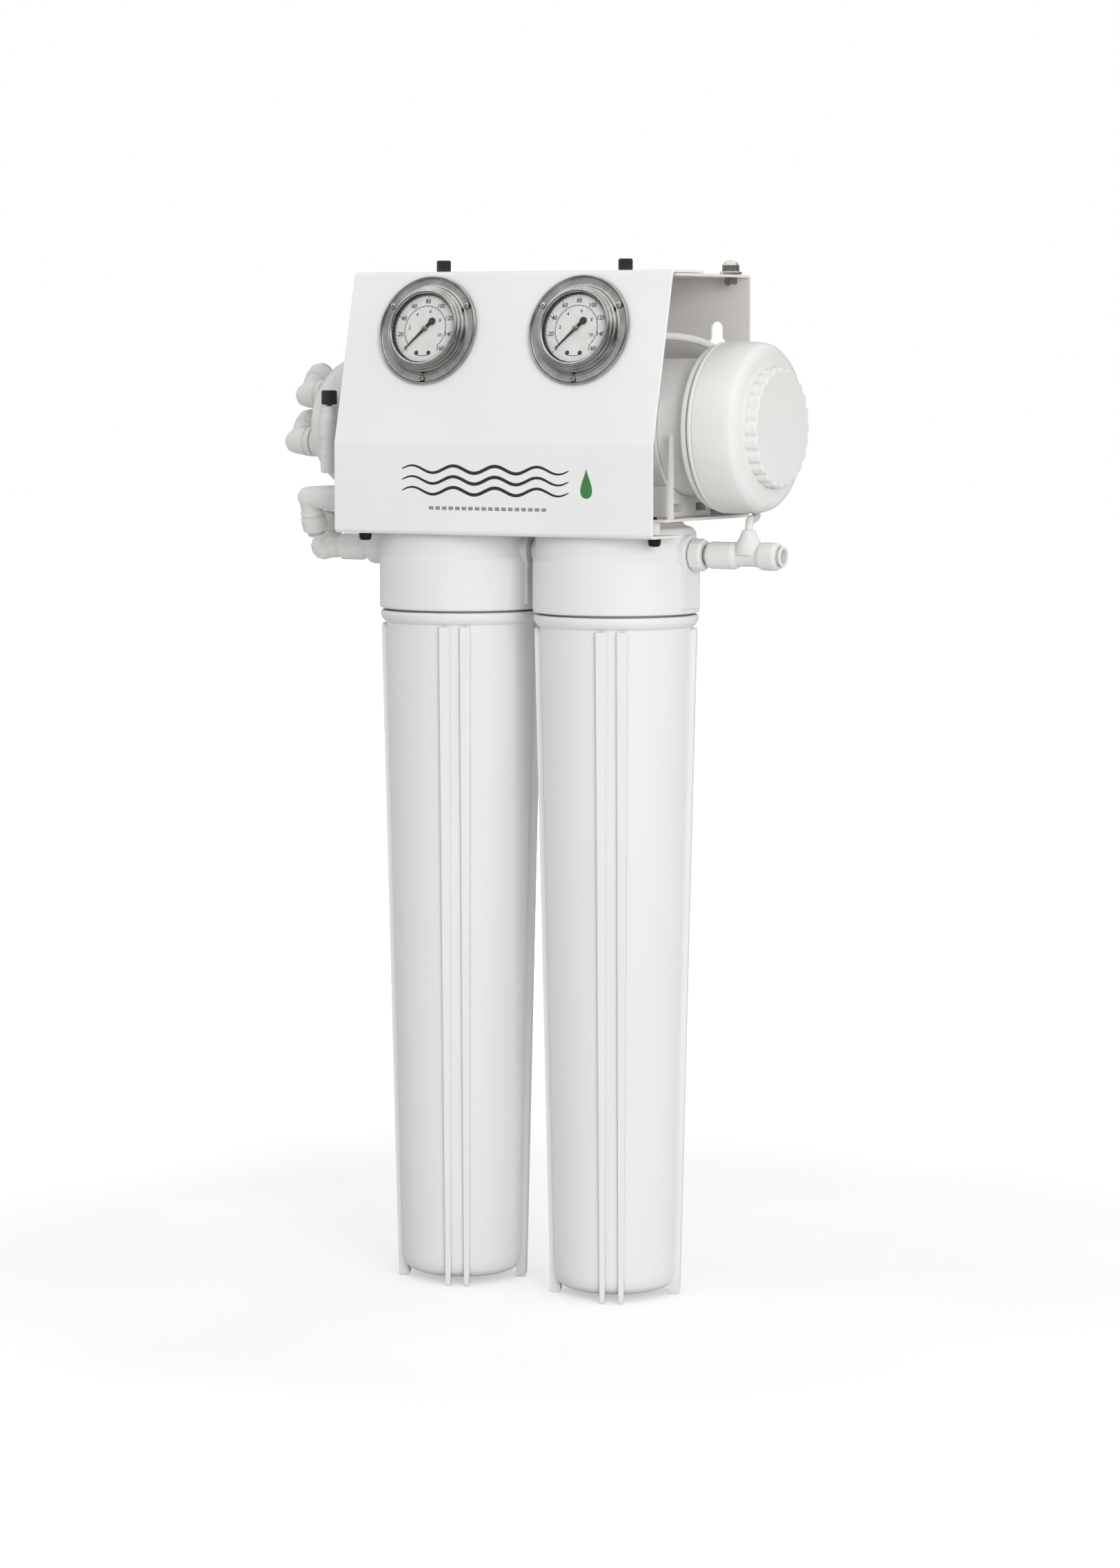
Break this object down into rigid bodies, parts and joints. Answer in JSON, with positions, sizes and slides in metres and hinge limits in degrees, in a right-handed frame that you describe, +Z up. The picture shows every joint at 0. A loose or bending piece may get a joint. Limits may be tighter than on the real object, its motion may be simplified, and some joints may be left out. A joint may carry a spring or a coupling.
{
  "type": "reverse osmosis unit",
  "caption": "Wall-hung reverse osmosis unit: tall filter housings under a folded metal bracket, a membrane housing lying across it with a screw cap, pressure gauges and push-fit fittings.",
  "frame": {"origin": "centre of the bracket's rear face, which lies against the wall", "axes": "+X to the right seen from the front, +Y into the wall, +Z up"},
  "size_m": [0.4478, 0.16, 0.7963],
  "materials": {
    "powder_coat": "white powder coat, fine orange peel",
    "white_plastic": "moulded white polypropylene, satin",
    "black_plastic": "moulded black nylon",
    "red_plastic": "moulded red button",
    "seal_rubber": "moulded black rubber, greased",
    "spun_white": "spun polypropylene fibre",
    "carbon_grey": "carbon block in a plastic net",
    "element_wrap": "taped membrane roll",
    "stainless": "polished stainless steel",
    "plated_steel": "bright zinc plated steel",
    "dial_white": "matt white enamel with dark print",
    "clear_glass": "clear flat window",
    "tube_white": "white polyethylene tube"
  },
  "bodies": {
    "unit_body": {"cover_screw_left": "plated_steel", "cover_screw_right": "plated_steel", "drain_bulkhead": "white_plastic", "feed_connector": "white_plastic", "flush_valve_body": "white_plastic", "front_cover": "powder_coat", "gauge_tube_left": "tube_white", "gauge_tube_right": "tube_white", "head_screw_1": "plated_steel", "head_screw_2": "plated_steel", "head_screw_3": "plated_steel", "head_screw_4": "plated_steel", "housing_clip_left": "white_plastic", "housing_clip_right": "white_plastic", "inlet_elbow": "white_plastic", "left_gauge_case": "stainless", "left_gauge_dial": "dial_white", "left_gauge_lens": "clear_glass", "left_gauge_screw_1": "plated_steel", "left_gauge_screw_2": "plated_steel", "left_gauge_screw_3": "plated_steel", "left_head": "white_plastic", "link_nipple": "white_plastic", "membrane_element": "element_wrap", "membrane_housing": "white_plastic", "outlet_adapter": "white_plastic", "outlet_tee": "white_plastic", "product_elbow": "white_plastic", "rear_bracket": "powder_coat", "right_gauge_case": "stainless", "right_gauge_dial": "dial_white", "right_gauge_lens": "clear_glass", "right_gauge_screw_1": "plated_steel", "right_gauge_screw_2": "plated_steel", "right_gauge_screw_3": "plated_steel", "right_head": "white_plastic", "top_bolt": "plated_steel", "top_nut": "plated_steel", "waste_elbow": "white_plastic"},
    "left_cartridge_carrier": {"left_seal": "seal_rubber", "sediment_cartridge": "spun_white"},
    "left_sump_bowl": {"left_sump": "white_plastic"},
    "right_cartridge_carrier": {"right_seal": "seal_rubber", "carbon_cartridge": "carbon_grey"},
    "right_sump_bowl": {"right_sump": "white_plastic"},
    "cap_seal_ring": {"cap_seal": "seal_rubber"},
    "screw_cap": {"membrane_cap": "white_plastic"},
    "left_needle": {"left_gauge_needle": "black_plastic"},
    "right_needle": {"right_gauge_needle": "black_plastic"},
    "left_thumb": {"thumb_screw_left": "black_plastic"},
    "right_thumb": {"thumb_screw_right": "black_plastic"},
    "valve_knob": {"flush_valve_knob": "black_plastic"},
    "left_vent": {"left_vent_button": "red_plastic"},
    "right_vent": {"right_vent_button": "red_plastic"},
    "product_release": {"product_collet": "white_plastic"},
    "waste_release": {"waste_collet": "white_plastic"},
    "feed_release": {"feed_collet": "white_plastic"},
    "drain_release": {"drain_collet": "white_plastic"},
    "inlet_release": {"inlet_collet": "white_plastic"},
    "outlet_release": {"outlet_collet": "white_plastic"}
  },
  "joints": [
    {"name": "left_sump_drop", "type": "slide", "parent": "unit_body", "child": "left_cartridge_carrier", "axis": [0, 0, -1], "range_m": [0, 0.0201], "stiffness_N_per_m": 1500, "springref_m": -0.02},
    {"name": "left_sump_turn", "type": "hinge", "parent": "left_cartridge_carrier", "child": "left_sump_bowl", "pos_m": [-0.0685, -0.086, -0.17], "axis": [0, 0, -1], "range_deg": [0, 1440]},
    {"name": "right_sump_drop", "type": "slide", "parent": "unit_body", "child": "right_cartridge_carrier", "axis": [0, 0, -1], "range_m": [0, 0.0201], "stiffness_N_per_m": 1500, "springref_m": -0.02},
    {"name": "right_sump_turn", "type": "hinge", "parent": "right_cartridge_carrier", "child": "right_sump_bowl", "pos_m": [0.0685, -0.086, -0.17], "axis": [0, 0, -1], "range_deg": [0, 1440]},
    {"name": "cap_travel", "type": "slide", "parent": "unit_body", "child": "cap_seal_ring", "axis": [1, 0, 0], "range_m": [0, 0.0181]},
    {"name": "cap_turn", "type": "hinge", "parent": "cap_seal_ring", "child": "screw_cap", "pos_m": [0.18, -0.068, -0.018], "axis": [1, 0, 0], "range_deg": [0, 1080]},
    {"name": "left_needle_turn", "type": "hinge", "parent": "unit_body", "child": "left_needle", "pos_m": [-0.066, -0.14593, 0.05659], "axis": [0, 0.9723, -0.2338], "range_deg": [0, 270], "stiffness_Nm_per_rad": 0.001},
    {"name": "right_needle_turn", "type": "hinge", "parent": "unit_body", "child": "right_needle", "pos_m": [0.066, -0.14593, 0.05659], "axis": [0, 0.9723, -0.2338], "range_deg": [0, 270], "stiffness_Nm_per_rad": 0.001},
    {"name": "left_thumb_turn", "type": "hinge", "parent": "unit_body", "child": "left_thumb", "pos_m": [-0.08, -0.093, 0.1003], "axis": [0, 0, 1], "continuous": true},
    {"name": "right_thumb_turn", "type": "hinge", "parent": "unit_body", "child": "right_thumb", "pos_m": [0.08, -0.093, 0.1003], "axis": [0, 0, 1], "continuous": true},
    {"name": "flush_valve_turn", "type": "hinge", "parent": "unit_body", "child": "valve_knob", "pos_m": [-0.163, -0.1285, -0.002], "axis": [0, 0, 1], "range_deg": [0, 720]},
    {"name": "left_vent_press", "type": "slide", "parent": "unit_body", "child": "left_vent", "axis": [0, 0, -1], "range_m": [0, 0.0035], "stiffness_N_per_m": 400, "springref_m": -0.002},
    {"name": "right_vent_press", "type": "slide", "parent": "unit_body", "child": "right_vent", "axis": [0, 0, -1], "range_m": [0, 0.0035], "stiffness_N_per_m": 400, "springref_m": -0.002},
    {"name": "product_collet_press", "type": "slide", "parent": "unit_body", "child": "product_release", "axis": [0, -0.8, -0.6], "range_m": [0, 0.0018], "stiffness_N_per_m": 200},
    {"name": "waste_collet_press", "type": "slide", "parent": "unit_body", "child": "waste_release", "axis": [0, -0.8, -0.6], "range_m": [0, 0.0018], "stiffness_N_per_m": 200},
    {"name": "feed_collet_press", "type": "slide", "parent": "unit_body", "child": "feed_release", "axis": [1, 0, 0], "range_m": [0, 0.0018], "stiffness_N_per_m": 200},
    {"name": "drain_collet_press", "type": "slide", "parent": "unit_body", "child": "drain_release", "axis": [0, -0.3714, 0.9285], "range_m": [0, 0.0018], "stiffness_N_per_m": 200},
    {"name": "inlet_collet_press", "type": "slide", "parent": "unit_body", "child": "inlet_release", "axis": [0, -0.3714, -0.9285], "range_m": [0, 0.0018], "stiffness_N_per_m": 200},
    {"name": "outlet_collet_press", "type": "slide", "parent": "unit_body", "child": "outlet_release", "axis": [-1, 0, 0], "range_m": [0, 0.0018], "stiffness_N_per_m": 200}
  ],
  "couplings": [
    {"joint": "left_sump_drop", "follows": "left_sump_turn", "m_per_rad": 0.000795},
    {"joint": "right_sump_drop", "follows": "right_sump_turn", "m_per_rad": 0.000795},
    {"joint": "cap_travel", "follows": "cap_turn", "m_per_rad": 0.000955}
  ]
}
